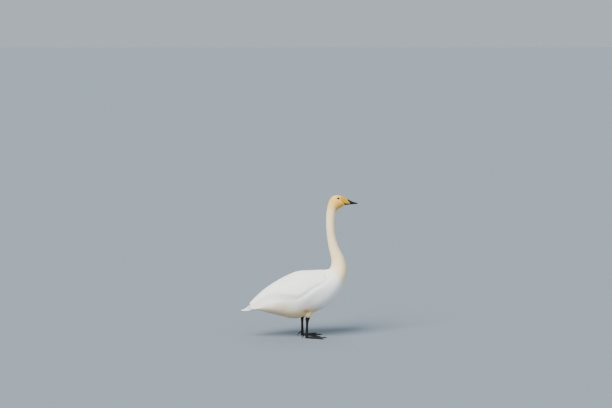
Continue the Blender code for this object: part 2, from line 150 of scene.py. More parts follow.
def spline(at, values):
    """Natural cubic spline through the rows of values, as a function of the distance along."""
    at, values = np.asarray(at, float), np.asarray(values, float)
    step, last = np.diff(at), len(at) - 1
    system, load = np.eye(last + 1), np.zeros(values.shape)
    for i in range(1, last):
        system[i, i - 1:i + 2] = step[i - 1], 2 * (step[i - 1] + step[i]), step[i]
        rise = (values[i + 1] - values[i]) / step[i] - (values[i] - values[i - 1]) / step[i - 1]
        load[i] = 6 * rise
    bend = np.linalg.solve(system, load)

    def curve(s):
        i = np.clip(np.searchsorted(at, s) - 1, 0, last - 1)
        span = step[i][..., None]
        b = (np.asarray(s, float) - at[i])[..., None] / span
        a = 1 - b
        swell = (a**3 - a) * bend[i] + (b**3 - b) * bend[i + 1]
        return a * values[i] + b * values[i + 1] + swell * span**2 / 6

    return curve


def smooth_step(value):
    """0 below 0, 1 above 1, and an even S between."""
    t = np.clip(value, 0, 1)
    return t * t * (3 - 2 * t)


def between(value, start, end):
    """0 at the start, 1 at the end, and an even S between."""
    return smooth_step((value - start) / (end - start))


def unit(vectors):
    """Each vector at length 1."""
    return vectors / np.maximum(np.linalg.norm(vectors, axis=-1, keepdims=True), 1e-12)


def columns(*arrays):
    """The arrays, spread to one shape, side by side along a new last axis."""
    return np.stack(np.broadcast_arrays(*arrays), axis=-1)


def full_turn(sides):
    """The angle of each of that many points round a ring."""
    return np.arange(sides) * 2 * math.pi / sides


def mean_distance(rows, *outlines):
    """Distance along the outlines whose x and z start in these columns, as their mean."""
    steps = [np.linalg.norm(np.diff(rows[:, a:a + 2], axis=0), axis=1) for a in outlines]
    return np.concatenate([[0], np.cumsum(sum(steps) / len(steps))])


def ring_point(row, turn, rise=0.0, swell=0.0):
    """A point of the ring: level is cos(turn), pushed towards the widest level by sin(turn)^2."""
    upper, lower = row[..., 0:2], row[..., 2:4]
    upper = upper + unit(upper - lower) * np.expand_dims(rise, -1)
    level = np.cos(turn) + row[..., 5] * np.sin(turn) ** 2
    at = (upper + lower) / 2 + (upper - lower) / 2 * level[..., None]
    across = -(row[..., 4] + swell) * np.sin(turn)
    return columns(at[..., 0], across, at[..., 1])


def with_steps(points):
    """A table of points, the step to the next row, the step to the next side, and the normal."""
    ahead = np.gradient(points, axis=0)
    beside = (np.roll(points, -1, axis=1) - np.roll(points, 1, axis=1)) / 2
    normal = unit(np.cross(ahead, beside))
    outward = ((points - points.mean(axis=1, keepdims=True)) * normal).sum()
    return np.concatenate([points, ahead, beside, normal * np.sign(outward)], axis=-1)


def sunk(points, depth):
    """The surface that lies depth under points."""
    return points - with_steps(points)[..., 9:] * depth[..., None]


# Where the feathers end at the bare lores, then the eye's place, and the length and height of its
# oval against a circle's.
LORES = np.array([(0.3010, 0.9840), (0.2920, 0.9770), (0.2812, 0.9700), (0.2900, 0.9490),
                  (0.3100, 0.9290)])
EYE_AT, EYE_OVAL = (0.2710, 0.9655), (1.14, 0.86)


def ahead_of_lores(x, z):
    """How far a point lies ahead of the edge where the feathers end at the bare lores."""
    edge_x = np.interp(z, LORES[::-1, 1], LORES[::-1, 0])
    return np.where(z < LORES[-1, 1], x - LORES[-1, 0] - 0.9 * (LORES[-1, 1] - z), x - edge_x)


slice_rows = np.array([np.hstack(row) for row in SLICES.values()], float)
slice_at = dict(zip(SLICES, mean_distance(slice_rows, 0, 2)))
body_length = slice_at["bill root"]
row_s = np.linspace(0, body_length, ROWS)
row_data = spline(list(slice_at.values()), slice_rows)(row_s)
row_data[:, 6] = np.interp(row_s, list(slice_at.values()), slice_rows[:, 6])
row_grid = np.repeat(row_data[:, None], SIDES, axis=1)
turn_grid = np.tile(full_turn(SIDES), (ROWS, 1))
from_back = np.degrees(np.minimum(turn_grid, 2 * math.pi - turn_grid))
rings = ring_point(row_grid, turn_grid)
behind_lores = -ahead_of_lores(rings[..., 0], rings[..., 2])
coat_depth = np.minimum(
    row_grid[..., 6], COAT_LEAST + COAT_GROWTH * np.clip(behind_lores, 0, None))
# The tail's root is flat, so the coat thins out round its sharp sides.
to_tail = between(row_s, slice_at["vent"], slice_at["tail root"])
coat_depth *= 1 - 0.85 * to_tail[:, None] * np.sin(turn_grid) ** 4


def row_of(name, share=0.0, towards=None):
    """Row of the table at a named slice, or that share of the way to another."""
    s = slice_at[name]
    if towards:
        s += share * (slice_at[towards] - s)
    return s / body_length * (ROWS - 1)


wing_front = slice_at["keel"] + WING_FRONT * (slice_at["breast"] - slice_at["keel"])
wing_rows = spline([slice_at[name] for name in WING], list(WING.values()))(row_s)
wing_upper, wing_lower, wing_rise, wing_swell, wing_soft, flank_bulge = (
    column[:, None] for column in wing_rows.T)
front_fade = np.clip((wing_front - row_s) / WING_START, 0, 1)
front_fade = np.sqrt(1 - (1 - front_fade) ** 2)[:, None]
in_upper = 1 - (1 - smooth_step(from_back / np.maximum(wing_upper, UPPER_SOFT))) * smooth_step(
    wing_upper / UPPER_SOFT)
row_number = np.arange(ROWS)
behind_loin = between(row_number, row_of("abdomen"), row_of("vent"))[:, None]
round_width = ROUND_OVER[0] + ROUND_OVER[1] * behind_loin
round_edge = 1 - (ROUND_BY[0] + ROUND_BY[1] * behind_loin) * smooth_step(
    (from_back - wing_lower + round_width) / round_width)
relief = front_fade * in_upper * round_edge
below_edge = np.radians(from_back - wing_lower) * row_grid[..., 4]
bulge = np.where(row_s[:, None] < wing_front + FLANK_AHEAD, flank_bulge, 0) * np.exp(
    -(below_edge / np.where(below_edge > 0, BULGE_BELOW, BULGE_ABOVE)) ** 2)

bare = rings + with_steps(rings)[..., 9:] * np.maximum(bulge, 0)[..., None]
winged = ring_point(
    row_grid, turn_grid, wing_rise * relief,
    (wing_swell + WING_EDGE * np.sin(np.radians(from_back))) * relief)
under_table = with_steps(sunk(bare, coat_depth))  # skin under the breast, flanks and neck
behind_breast = between(row_number, row_of("breast"), row_of("belly"))[:, None]
upper_depth = coat_depth + (np.minimum(coat_depth, WING_COAT) - coat_depth) * behind_breast
upper_table = with_steps(sunk(winged, upper_depth))  # skin under the back and wings
edge = smooth_step((wing_lower - from_back) / wing_soft + 0.5) * np.minimum(1, front_fade * 1.2)
under, upper = under_table[..., :3], upper_table[..., :3]
skin_points = under + (upper - under) * edge[..., None]

# ---------------------------------------------------------------- Skin
# One closed skin for the tail's root, trunk, wings, neck, head, legs and webbed feet. It lies
# under the plumage and shows bare on the lores, on the legs and on the feet.
LEGS = {"right": (0.052, -0.062, 0.008), "left": (0.031, 0.062, 0.002)}  # x, y, lean of the shank
LEG = [  # height, half length, half width, how far it lies before its middle line
    (0.2620, 0.0380, 0.0240, 0.0120),
    (0.2150, 0.0335, 0.0245, 0.0060),
    (0.1880, 0.0275, 0.0215, 0.0010),
    (0.1700, 0.0225, 0.0185, 0.0000),
    (0.1600, 0.0175, 0.0150, 0.0005),
    (0.1542, 0.0138, 0.0118, 0.0010),
    (0.1450, 0.0150, 0.0125, 0.0010),
    (0.1360, 0.0152, 0.0125, 0.0000),
    (0.1250, 0.0118, 0.0096, -0.0010),
    (0.1080, 0.0091, 0.0072, -0.0010),
    (0.0600, 0.0085, 0.0065, 0.0000),
    (0.0380, 0.0090, 0.0070, 0.0005),
    (0.0150, 0.0098, 0.0086, 0.0000),
]
LEG_TOP, HEEL_TOP = 0.1542, 0.0203  # heights between which the shank leans
TOE_OUT = 4.0  # degrees that each foot turns outward
TOES = {  # direction in degrees, length, half width at the root and at the tip, joints
    "outer": (27.0, 0.120, 0.0064, 0.0042, 4),
    "middle": (0.0, 0.130, 0.0070, 0.0044, 3),
    "inner": (-29.0, 0.102, 0.0064, 0.0042, 2),
}
HEEL_RADIUS, HEEL_HEIGHT = 0.0092, 0.0195
TOE_HEIGHT = (0.0130, 0.0072)  # at the root and at the tip
WEB_THICK, WEB_NOTCH = 0.0018, 0.13  # its thickness, and how far its edge is cut in
HALLUX = [  # the hind toe: distance behind the heel, height, radius
    (0.0060, 0.0262, 0.0036), (0.0130, 0.0252, 0.0038), (0.0200, 0.0195, 0.0038),
    (0.0262, 0.0120, 0.0033), (0.0275, 0.0103, 0.0024),
]
SKIN_END = 8.0  # rings over which the skin closes at the tail


def smooth(mesh, sharp_from=55):
    """Shades a mesh smooth, but for edges sharper than that many degrees."""
    mesh.shade_smooth()
    mesh.set_sharp_from_angle(angle=math.radians(sharp_from))
    return mesh


def grid_mesh(name, grid, flat=False):
    """A solid through a grid of points whose second axis closes on itself. Each end is a fan, or
    where the rings are flat, a strip between the two halves of the ring."""
    rows, sides, _ = grid.shape
    a = np.arange(rows * sides).reshape(rows, sides)
    b = np.roll(a, -1, axis=1)
    points = grid.reshape(-1, 3)
    faces = np.stack([a[:-1], b[:-1], b[1:], a[1:]], axis=-1).reshape(-1, 4).tolist()
    if flat:
        for end in (a[0], a[-1]):
            one, other = end[:sides // 2], end[:sides // 2 - 1:-1]
            strip = np.stack([one[:-1], one[1:], other[1:], other[:-1]], axis=-1)
            faces += strip.tolist()
    else:
        points = np.vstack([points, grid[0].mean(axis=0), grid[-1].mean(axis=0)])
        faces += np.stack([b[0], a[0], 0 * a[0] + len(points) - 2], axis=-1).tolist()
        faces += np.stack([a[-1], b[-1], 0 * a[-1] + len(points) - 1], axis=-1).tolist()
    mesh = bpy.data.meshes.new(name)
    mesh.from_pydata(points.tolist(), [], faces)
    work = bmesh.new()
    work.from_mesh(mesh)
    bmesh.ops.recalc_face_normals(work, faces=work.faces)
    work.to_mesh(mesh)
    work.free()
    return smooth(mesh)


def new_piece(name, mesh, *materials):
    """A mesh put into the scene under its name, with its materials."""
    made = bpy.data.objects.new(name, mesh)
    bpy.context.scene.collection.objects.link(made)
    for finish in materials:
        mesh.materials.append(finish)
    return made


def put_foot(points, side):
    """Turns a foot's own points outward, mirrors them for the right foot and moves them."""
    middle, across, lean = LEGS[side]
    angle = math.radians(TOE_OUT)
    x = points[..., 0] * math.cos(angle) - points[..., 1] * math.sin(angle)
    y = points[..., 0] * math.sin(angle) + points[..., 1] * math.cos(angle)
    y = y if side == "left" else -y
    return columns(x + middle - lean, y + across, points[..., 2])


def leg_grid(side, sides=48, rows=150):
    """Ovals up a leaning line, their sizes a spline through the levels of LEG."""
    x, y, lean = LEGS[side]
    levels = np.array(LEG)[::-1]
    z = np.linspace(levels[0, 0], levels[-1, 0], rows)
    size = spline(levels[:, 0], levels[:, 1:])(z)
    lead = size[:, 2] - lean * np.clip((LEG_TOP - z) / (LEG_TOP - HEEL_TOP), 0, 1)
    turn = full_turn(sides)
    return columns((x + lead)[:, None] + size[:, :1] * np.cos(turn),
                   y + size[:, 1:2] * np.sin(turn), z[:, None])


def toe_height(x, y):
    """Top of the foot: a rounded ridge with a swelling at each joint along each toe, the web
    sagging between them, and the heel."""
    height = np.full(x.shape, WEB_THICK)
    for direction, length, root, tip, joints in TOES.values():
        angle = math.radians(direction)
        along = x * math.cos(angle) + y * math.sin(angle)
        off = np.abs(y * math.cos(angle) - x * math.sin(angle))
        part = np.clip(along / length, 0, 1)
        knuckle = np.cos(part * joints * 2 * math.pi) * smooth_step(part * 8 - 0.6)
        width = (root + (tip - root) * part) * (1 + 0.09 * knuckle)
        top = (TOE_HEIGHT[0] + (TOE_HEIGHT[1] - TOE_HEIGHT[0]) * part) * (1 + 0.07 * knuckle)
        ridge = top * np.clip(1 - (off / width) ** 2, 0, 1) ** 0.5
        skirt = WEB_THICK * (1 + 1.1 * np.exp(-((off - width) / 0.0035) ** 2))
        height = np.maximum(height, np.maximum(ridge, np.where(off > width, skirt, 0)))
    out = np.clip((np.hypot(x, y) - 0.7 * HEEL_RADIUS) / (2.4 * HEEL_RADIUS), 0, 1)
    return np.maximum(height, HEEL_HEIGHT * (1 - smooth_step(out)))


def foot_mesh(side):
    """A sheet of lines from the heel to the foot's scalloped edge, over a flat sole."""
    toes = list(TOES.values())[::-1]
    ends = []
    for number, (direction, length, _, tip, _) in enumerate(toes):
        angle = math.radians(direction)
        along = np.array([math.cos(angle), math.sin(angle)])
        aside = np.array([-along[1], along[0]])
        for part in np.sin(np.linspace(-math.pi / 2, math.pi / 2, 11)):
            tuck = 1 - 0.03 * part**4
            ends.append(along * length * tuck + aside * tip * part)
        if number < 2:
            after = toes[number + 1]
            for part in np.linspace(0, 1, 18)[1:-1]:
                at = math.radians(direction + (after[0] - direction) * part)
                long = length + (after[1] - length) * part
                long *= 1 - WEB_NOTCH * math.sin(math.pi * part) ** 0.7
                ends.append(long * np.array([math.cos(at), math.sin(at)]))
    ends = np.array(ends)
    spread = np.linspace(-math.pi / 2, math.pi / 2, len(ends))
    starts = HEEL_RADIUS * np.column_stack([-np.cos(spread), np.sin(spread)])
    part = np.concatenate([np.linspace(0, 0.16, 14)[:-1], np.linspace(0.16, 1, 66)])
    plan = starts + (ends - starts) * part[:, None, None]
    top = toe_height(plan[..., 0], plan[..., 1])
    top[-1] *= 0.75
    upper, lower = np.dstack([plan, top]), np.dstack([plan, 0 * top])
    grid = put_foot(np.concatenate([upper, lower[:, ::-1]], axis=1), side)
    return grid_mesh("foot", grid, flat=True)


def tube_grid(path, radii, sides=16, rows=24):
    """Round rings square to a splined path, in the foot's own plan."""
    path, radii = np.array(path, float), np.array(radii, float)
    at = np.concatenate([[0], np.cumsum(np.linalg.norm(np.diff(path, axis=0), axis=1))])
    row = spline(at, np.column_stack([path, radii]))(np.linspace(0, at[-1], rows))
    ahead = unit(np.gradient(row[:, :3], axis=0))
    aside = unit(np.cross((0, 0, 1), ahead))
    upward, turn = np.cross(ahead, aside), full_turn(sides)
    ring = np.cos(turn)[:, None, None] * aside + np.sin(turn)[:, None, None] * upward
    return row[:, None, :3] + np.moveaxis(ring, 0, 1) * row[:, None, 3:]


def hind_path(rows):
    """The path and radii of a tube that runs back from the heel."""
    return [(-behind, 0, height) for behind, height, _ in rows], [radius for *_, radius in rows]


# The skin takes every second row and side of its table, and closes inside the tail.
skin_first = int(row_of("tail root", 0.60, "tail middle"))
skin_rings = skin_points[:skin_first:-2, ::2][::-1]
to_end = 1 - np.clip(np.arange(len(skin_rings)) / SKIN_END, 0, 1)
closing = (0.25 + 0.75 * np.sqrt(1 - to_end**2))[:, None, None]
skin_middle = skin_rings.mean(axis=1, keepdims=True)
skin = new_piece("skin", grid_mesh("skin", skin_middle + (skin_rings - skin_middle) * closing))
limbs = []
for side in LEGS:
    hind = put_foot(tube_grid(*hind_path(HALLUX)), side)
    for mesh in (grid_mesh("leg", leg_grid(side)), foot_mesh(side), grid_mesh("hind_toe", hind)):
        limbs.append(new_piece("limb", mesh))
        joining = skin.modifiers.new("join_limb", "BOOLEAN")
        joining.operation, joining.solver, joining.object = "UNION", "EXACT", limbs[-1]
skin.data = bpy.data.meshes.new_from_object(
    skin.evaluated_get(bpy.context.evaluated_depsgraph_get()))
skin.modifiers.clear()
smooth(skin.data).name = "skin"
for limb in limbs:
    bpy.data.objects.remove(limb)


def put(tree, kind, *inputs, **settings):
    """A node with these settings, its inputs set or linked in order. It returns the node."""
    node = tree.nodes.new(kind)
    for name, value in settings.items():
        setattr(node, name, value)
    for socket, value in zip(node.inputs, inputs):
        if isinstance(value, bpy.types.NodeSocket):
            tree.links.new(value, socket)
        elif value is not None:
            socket.default_value = value
    return node


def ramp(tree, value, low, high):
    """0 where value is at low and 1 where it is at high, with an even S between."""
    node = put(tree, "ShaderNodeMapRange", value, low, high, interpolation_type="SMOOTHSTEP")
    return node.outputs["Result"]


def calc(tree, operation, *values):
    """The result of one step of arithmetic."""
    return put(tree, "ShaderNodeMath", *values, operation=operation).outputs[0]


def times(tree, a, b):
    """The product of a and b."""
    return calc(tree, "MULTIPLY", a, b)


def noise(tree, place, scale, detail):
    """Soft random values around a half, so many to a metre."""
    return put(tree, "ShaderNodeTexNoise", place, None, scale, detail).outputs[0]


def places(tree):
    """The place on the bird as a vector, then its x, y and z."""
    place = put(tree, "ShaderNodeTexCoord").outputs["Object"]
    return place, *put(tree, "ShaderNodeSeparateXYZ", place).outputs


def distance(tree, place, centre, stretch, turn=0.0):
    """How far a place lies from a centre, turned about Y, each way multiplied by its stretch."""
    off = put(tree, "ShaderNodeVectorMath", place, centre, operation="SUBTRACT").outputs[0]
    if turn:
        off = put(tree, "ShaderNodeVectorRotate", off, None, (0.0, 1.0, 0.0), turn).outputs[0]
    off = put(tree, "ShaderNodeVectorMath", off, stretch, operation="MULTIPLY").outputs[0]
    return put(tree, "ShaderNodeVectorMath", off, operation="LENGTH").outputs["Value"]


def raise_surface(tree, shader, height, strength, depth):
    """A bump of this strength and depth, where height is 0 low and 1 high."""
    bump = put(tree, "ShaderNodeBump")
    bump.inputs["Strength"].default_value, bump.inputs["Distance"].default_value = strength, depth
    tree.links.new(height, bump.inputs["Height"])
    tree.links.new(bump.outputs[0], shader["Normal"])


def blend_color(tree, share, one, other):
    """One colour where share is 0 and the other where it is 1."""
    return put(tree, "ShaderNodeMix", share, *[None] * 5, one, other, data_type="RGBA").outputs[2]


def material(name, roughness, **sockets):
    """A Principled material, with the numbers that are the same all over set on its sockets."""
    made = bpy.data.materials.new(name)
    made.use_nodes = True
    shader = made.node_tree.nodes["Principled BSDF"]
    shader.inputs["Roughness"].default_value = roughness
    for label, value in sockets.items():
        shader.inputs[label.replace("_", " ")].default_value = value
    return made, made.node_tree, shader.inputs


WHITE, NECK_CREAM = (0.90, 0.90, 0.89, 1), (0.94, 0.77, 0.44, 1)
HEAD_BUFF, CHEEK_BUFF = (0.88, 0.55, 0.08, 1), (0.72, 0.37, 0.03, 1)
BROW_GOLD, BELLY_CREAM_AND_BOUNCE = (0.95, 0.48, 0.01, 1), (0.76, 0.58, 0.33, 1)
THIGH_CREAM, FLANK_SHADE = (0.86, 0.62, 0.26, 1), (0.46, 0.34, 0.16, 1)
YELLOW, BLACK = (0.50, 0.265, 0.0, 1), (0.006, 0.006, 0.007, 1)
LEG_GAP, LEG_SCALE = (0.004, 0.004, 0.005, 1), (0.011, 0.011, 0.012, 1)
EYE_RING, GREY = (0.012, 0.009, 0.007, 1), (0.62, 0.60, 0.56, 1)

# White, stained cream down the neck to its foot, buff on the head, cream on the thighs, and cream
# on the belly that is partly a real stain and partly painted warm light bounced up from the ground;
# a painted shadow darkens the crease where each thigh leaves the flank.
stain_and_painted_light = bpy.data.node_groups.new("plumage_stain_and_painted_light", "ShaderNodeTree")
stain_and_painted_light.interface.new_socket("Color", in_out="OUTPUT", socket_type="NodeSocketColor")
place, along_x, _, up_z = places(stain_and_painted_light)
mottle = noise(stain_and_painted_light, place, 9.0, 3.0)
height = calc(stain_and_painted_light, "MULTIPLY_ADD", mottle, 0.16, up_z)


def spot(centre, stretch, full, gone):
    """1 within the distance full of a point, 0 beyond gone. Each way is stretched by its factor."""
    return ramp(stain_and_painted_light, distance(stain_and_painted_light, place, centre, stretch), gone, full)


# The cream ends on a slant from the neck's back down to the breast.
slant = calc(stain_and_painted_light, "MULTIPLY_ADD", up_z, 0.75, along_x)
slant = calc(stain_and_painted_light, "MULTIPLY_ADD", mottle, 0.08, slant)
color = blend_color(stain_and_painted_light, ramp(stain_and_painted_light, slant, 0.585, 0.665), WHITE, NECK_CREAM)
color = blend_color(stain_and_painted_light, ramp(stain_and_painted_light, height, 0.93, 1.03), color, HEAD_BUFF)
cheek = spot((0.280, 0.0, 0.908), (1.0, 0.35, 1.0), 0.014, 0.064)
brow = spot((0.290, 0.0, 0.985), (1.0, 0.5, 1.0), 0.010, 0.046)
# Cream on the lower belly: partly a real stain, partly painted warm light bounced up from the
# ground.
belly = times(stain_and_painted_light, ramp(stain_and_painted_light, height, 0.39, 0.25), times(
    stain_and_painted_light, ramp(stain_and_painted_light, along_x, 0.20, 0.02), ramp(stain_and_painted_light, along_x, -0.36, -0.20)))
thigh = times(stain_and_painted_light, ramp(stain_and_painted_light, up_z, 0.225, 0.178), ramp(stain_and_painted_light, along_x, -0.03, 0.01))
# A painted shadow: the crease where each thigh leaves the flank is darkened with FLANK_SHADE.
painted_crease_shadow = spot((0.034, 0.0, 0.198), (1.0, 0.08, 1.8), 0.006, 0.036)
for share, tint in ((cheek, CHEEK_BUFF), (brow, BROW_GOLD), (belly, BELLY_CREAM_AND_BOUNCE),
                    (thigh, THIGH_CREAM), (painted_crease_shadow, FLANK_SHADE)):
    color = blend_color(stain_and_painted_light, share, color, tint)
stain_and_painted_light.links.new(color, put(stain_and_painted_light, "NodeGroupOutput").inputs[0])

# Bare skin: the lores yellow, a dark ring round the eye, the legs and feet black with a net of
# small scales.
skin_finish, tree, shader = material("bare_skin", 0.55, Specular_IOR_Level=0.15)
place, x, _, z = places(tree)
stain_and_light_color = put(tree, "ShaderNodeGroup", node_tree=stain_and_painted_light).outputs[0]
color = blend_color(tree, times(tree, ramp(tree, x, 0.2755, 0.2765), ramp(tree, z, 0.90, 0.91)),
                    stain_and_light_color, YELLOW)
from_eye = distance(tree, place, (EYE_AT[0], 0.0, EYE_AT[1]),
                    (1 / EYE_OVAL[0], 0.0, 1 / EYE_OVAL[1]))
color = blend_color(tree, ramp(tree, from_eye, 0.0088, 0.0080), color, EYE_RING)
on_leg = ramp(tree, z, LEG_TOP + 0.0030, LEG_TOP + 0.0014)
cells = put(tree, "ShaderNodeTexVoronoi", place, None, 330.0, feature="DISTANCE_TO_EDGE")
scale = ramp(tree, cells.outputs[0], 0.0, 0.16)
leg_color = blend_color(tree, scale, LEG_GAP, LEG_SCALE)
tree.links.new(blend_color(tree, on_leg, color, leg_color), shader["Base Color"])
raise_surface(tree, shader, times(tree, scale, on_leg), 0.8, 0.0005)
skin.data.materials.clear()
skin.data.materials.append(skin_finish)
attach(skin, "root")
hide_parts("trunk", "tail", "neck_low", "neck_middle", "neck_high", "head",
            "wing_left", "wing_right", "thigh_left", "thigh_right", "shank_left", "shank_right",
            "foot_left", "foot_right", "hallux_left", "hallux_right")

# ---------------------------------------------------------------- Bill
# Deep at the root and flat at the tip, with a broad nail. Yellow runs from the lores to below the
# nostrils, and the rest is black. The upper jaw's edge overlaps the lower jaw.
BILL = {  # ridge, cut between the jaws, lower outline (x, z), half width
    "root": ((0.3000, 0.9795), (0.3130, 0.9300), (0.3160, 0.9180), 0.0205),
    "lore": ((0.3130, 0.9745), (0.3255, 0.9283), (0.3285, 0.9187), 0.0182),
    "nostril": ((0.3330, 0.9640), (0.3405, 0.9277), (0.3420, 0.9200), 0.0168),
    "saddle": ((0.3583, 0.9484), (0.3600, 0.9272), (0.3605, 0.9214), 0.0155),
    "fore": ((0.3833, 0.9383), (0.3835, 0.9269), (0.3836, 0.9236), 0.0148),
    "nail": ((0.3992, 0.9337), (0.3987, 0.9265), (0.3985, 0.9245), 0.0108),
    "tip": ((0.4086, 0.9291), (0.4080, 0.9254), (0.4078, 0.9250), 0.0035),
}
NOSTRIL_AT, NOSTRIL_HALF, NOSTRIL_SLOPE = (0.3425, 0.9480), (0.0058, 0.0023), -0.55
NOSTRIL_DEPTH, NOSTRIL_BRIM = 0.0030, 0.0004
NAIL_FROM, NAIL_HALF = 0.3938, (0.007, 0.0072)  # x of its rear edge, half its length and width
NAIL_RISE, NAIL_GROOVE = 0.0006, 0.0003
JAWS = {"upper": (0.86, 0.0, -0.03), "lower": (0.8, 0.0013, 0.02)}  # power, inset, flat's bow
JAW_BLEND = 0.016  # length over which the jaws leave the head's own section

bill_rows = np.array([np.hstack(row) for row in BILL.values()], float)
bill_at = mean_distance(bill_rows, 0, 4)
bill_curve = spline(bill_at, bill_rows)


def head_width(level):
    """Half width of the last ring of the head, level 1 at its top and -1 at its foot. The ring's
    level is cos(turn) + k sin(turn)^2, solved here for cos(turn)."""
    half, k = slice_rows[-1, 4], slice_rows[-1, 5]
    cosine = (1 - np.sqrt(np.clip(1 - 4 * k * (level - k), 0, None))) / (2 * k)
    return half * np.sqrt(np.clip(1 - cosine**2, 0, 1))


def jaw_grid(name, until, rows=150, sides=96):
    """Domes over a flat: sideways sin(q)^p and outwards cos(q)^p, p a little below 1 so that the
    dome is full, then back along the flat. At the root the domes take the head's own section."""
    power, inset, bow = JAWS[name]
    along = until * np.linspace(0, 1, rows) ** 0.92
    row = bill_curve(along)
    ridge, flat, foot = row[:, 0:2], row[:, 2:4], row[:, 4:6]
    cut_level = np.linalg.norm(flat - foot, axis=1) / np.linalg.norm(ridge - foot, axis=1)
    dome, dome_level = (ridge, 1 - cut_level) if name == "upper" else (foot, -cut_level)
    q = np.linspace(-math.pi / 2, math.pi / 2, sides * 2 // 3)
    out = np.cos(q).clip(0) ** power
    level = cut_level[:, None] + dome_level[:, None] * out
    near = (1 - smooth_step(along / JAW_BLEND))[:, None]
    free = (row[:, 6:7] - inset) * np.abs(np.sin(q)) ** power
    side = np.sign(q) * ((1 - near) * free + near * head_width(2 * level - 1))
    back = np.linspace(1, -1, sides - len(q) + 2)[1:-1]
    side = np.concatenate([side, side[:, -1:] * back], axis=1)
    out = np.concatenate([out, bow * (1 - back**2)])
    at = flat[:, None] + (dome - flat)[:, None] * out[:, None]
    return columns(at[..., 0], side, at[..., 1])


upper_jaw, lower_jaw = jaw_grid("upper", bill_at[-1]), jaw_grid("lower", bill_at[-1] * 0.985)
away = with_steps(upper_jaw)[..., 9:]
slope = np.array([1, NOSTRIL_SLOPE]) / math.hypot(1, NOSTRIL_SLOPE)
from_nostril = upper_jaw[..., [0, 2]] - NOSTRIL_AT
length_off = (from_nostril * slope).sum(-1) / NOSTRIL_HALF[0]
height_off = (from_nostril * (-slope[1], slope[0])).sum(-1) / NOSTRIL_HALF[1]
off = np.hypot(length_off, height_off)
on_side = np.abs(away[..., 1]) > 0.25
hollow = NOSTRIL_DEPTH * (1 - smooth_step((off - 0.45) / 0.55))
brim = NOSTRIL_BRIM * np.exp(-((off - 1.35) / 0.35) ** 2)
nail_off = np.hypot(np.clip((NAIL_FROM + NAIL_HALF[0] - upper_jaw[..., 0]) / NAIL_HALF[0], 0, None),
                    upper_jaw[..., 1] / NAIL_HALF[1])
plate = NAIL_RISE * (1 - smooth_step((nail_off - 0.9) / 0.22))
groove = NAIL_GROOVE * np.exp(-((nail_off - 1.08) / 0.08) ** 2)
on_top = away[..., 2] > 0.1
carved = np.where(on_side, brim - hollow, 0) + np.where(on_top, plate - groove, 0)
upper_jaw = upper_jaw + away * carved[..., None]

bill_finish, tree, shader = material("bill_skin", 0.45, Specular_IOR_Level=0.10)
place, x, _, z = places(tree)
# The yellow's edge runs from the ridge down and forwards, then the black follows the jaw's edge.
front = calc(tree, "MULTIPLY_ADD", z, 0.62, x)
front = calc(tree, "MULTIPLY_ADD", noise(tree, place, 160.0, 2.0), 0.003, front)
yellow = ramp(tree, front, 0.9330, 0.9312)
edge_line = calc(tree, "MULTIPLY_ADD", x, 0.055, z)
yellow = times(tree, yellow, ramp(tree, edge_line, 0.9482, 0.9496))
# The nostril lies in a dark oval of its own that joins the black.
oval = distance(tree, place, (NOSTRIL_AT[0] + 0.0012, 0.0, NOSTRIL_AT[1] - 0.0003),
                (1 / 0.0082, 0.0, 1 / 0.0036), math.atan(NOSTRIL_SLOPE))
yellow = times(tree, yellow, ramp(tree, oval, 0.88, 1.06))
tree.links.new(blend_color(tree, yellow, BLACK, YELLOW), shader["Base Color"])
raise_surface(tree, shader, noise(tree, place, 420.0, 3.0), 0.35, 0.0003)
for name, grid, slot in (("upper", upper_jaw, "bill_yellow"), ("lower", lower_jaw, "bill_black")):
    jaw = new_piece(f"bill_{name}_form", grid_mesh(f"bill_{name}", grid), bill_finish)
    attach(jaw, "root")
    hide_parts(f"bill_{name}")

# ---------------------------------------------------------------- Eyes
# Near-black brown under a clear cornea, set in a thin dark ring of bare lid.
EYE_SEAT, EYE_RADIUS = 0.0188, 0.0080  # how far out its centre lies, and its radius
EYE_AXIS = (0.20, 0.94, 0.24)
LID_OPEN, LID_REACH = 0.0062, 0.0079  # mean radius of the opening, and of the ring of lid
LID = [  # distance out from the opening's edge, height over the eyeball
    (0.0000, 0.0000), (0.0000, 0.0004), (0.0003, 0.0007), (0.0007, 0.0006), (0.0011, 0.0004),
    (0.0016, 0.0003), (0.0022, 0.0003),
]
eye_finish = material("eye_brown", 0.08, Base_Color=(0.010, 0.005, 0.003, 1), Coat_Weight=0.35,
                      Coat_Roughness=0.02, Specular_IOR_Level=0.25)[0]
lid_finish = material(
    "lid_skin", 0.7, Base_Color=(0.016, 0.012, 0.009, 1), Specular_IOR_Level=0.2)[0]


def eye_frame(side):
    """The eye's centre, its outward axis, and the long and short ways of the lids' opening."""
    sign = 1 if side == "left" else -1
    centre = np.array([EYE_AT[0], sign * EYE_SEAT, EYE_AT[1]])
    out = unit(np.array([EYE_AXIS[0], sign * EYE_AXIS[1], EYE_AXIS[2]]))
    long = unit(np.array([1.0, 0, -0.18]) - out * (out[0] - 0.18 * out[2]))
    return centre, out, long, np.cross(out, long)


